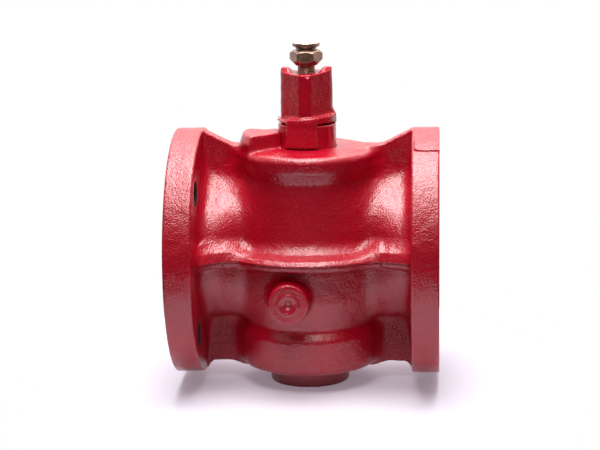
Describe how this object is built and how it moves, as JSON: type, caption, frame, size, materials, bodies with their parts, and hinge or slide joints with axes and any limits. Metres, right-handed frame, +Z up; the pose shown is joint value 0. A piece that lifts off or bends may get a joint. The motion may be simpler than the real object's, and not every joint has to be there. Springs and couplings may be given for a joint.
{
  "type": "plug valve",
  "caption": "Flanged quarter-turn plug valve: red-painted casting, taper plug with a square wrench head on its stem, and a plated sealant fitting on top.",
  "frame": {"origin": "centre of the foot under the bottom cap, on the stem axis", "axes": "+Z up the stem, +X along the pipe to the right flange, -Y to the front with the blank round boss"},
  "size_m": [0.2032, 0.1906, 0.2649],
  "materials": {
    "red_enamel": "glossy red enamel over a rough sand casting",
    "plug_enamel": "red enamel on the cast head and stem, machined iron below",
    "plated_steel": "yellow-passivated zinc plate, a little dull",
    "bright_steel": "machined bright",
    "spring_steel": "oiled spring steel",
    "packing": "graphited braid",
    "gasket": "pressed fibre",
    "rubber": "smooth moulded rubber"
  },
  "bodies": {
    "casing": {"valve_body": "red_enamel", "gland": "red_enamel", "packing_washer": "bright_steel", "packing_ring_1": "packing", "packing_ring_2": "packing", "packing_ring_3": "packing", "cap_gasket": "gasket", "bottom_cap": "red_enamel", "adjusting_screw": "bright_steel", "lock_nut": "bright_steel", "adjuster_seal": "rubber", "disc_spring_1": "spring_steel", "disc_spring_2": "spring_steel", "spring_follower": "bright_steel", "thrust_ball": "bright_steel"},
    "plug": {"plug": "plug_enamel", "thrust_pad": "bright_steel", "sealant_fitting": "plated_steel", "fitting_spring_retainer": "bright_steel", "fitting_check_spring": "spring_steel", "stem_check_seat": "bright_steel", "stem_check_spring": "spring_steel"},
    "fitting_ball": {"fitting_check_ball": "bright_steel"},
    "stem_ball": {"stem_check_ball": "bright_steel"}
  },
  "joints": [
    {"name": "plug_turn", "type": "hinge", "parent": "casing", "child": "plug", "pos_m": [0, 0, 0.1031], "axis": [0, 0, 1], "range_deg": [0, 90]},
    {"name": "fitting_check_travel", "type": "slide", "parent": "plug", "child": "fitting_ball", "axis": [0, 0, 1], "range_m": [-0.003, 0], "stiffness_N_per_m": 300, "springref_m": 0.002, "deforming": ["fitting_check_spring"]},
    {"name": "stem_check_travel", "type": "slide", "parent": "plug", "child": "stem_ball", "axis": [0, 0, 1], "range_m": [-0.003, 0], "stiffness_N_per_m": 300, "springref_m": 0.002, "deforming": ["stem_check_spring"]}
  ]
}
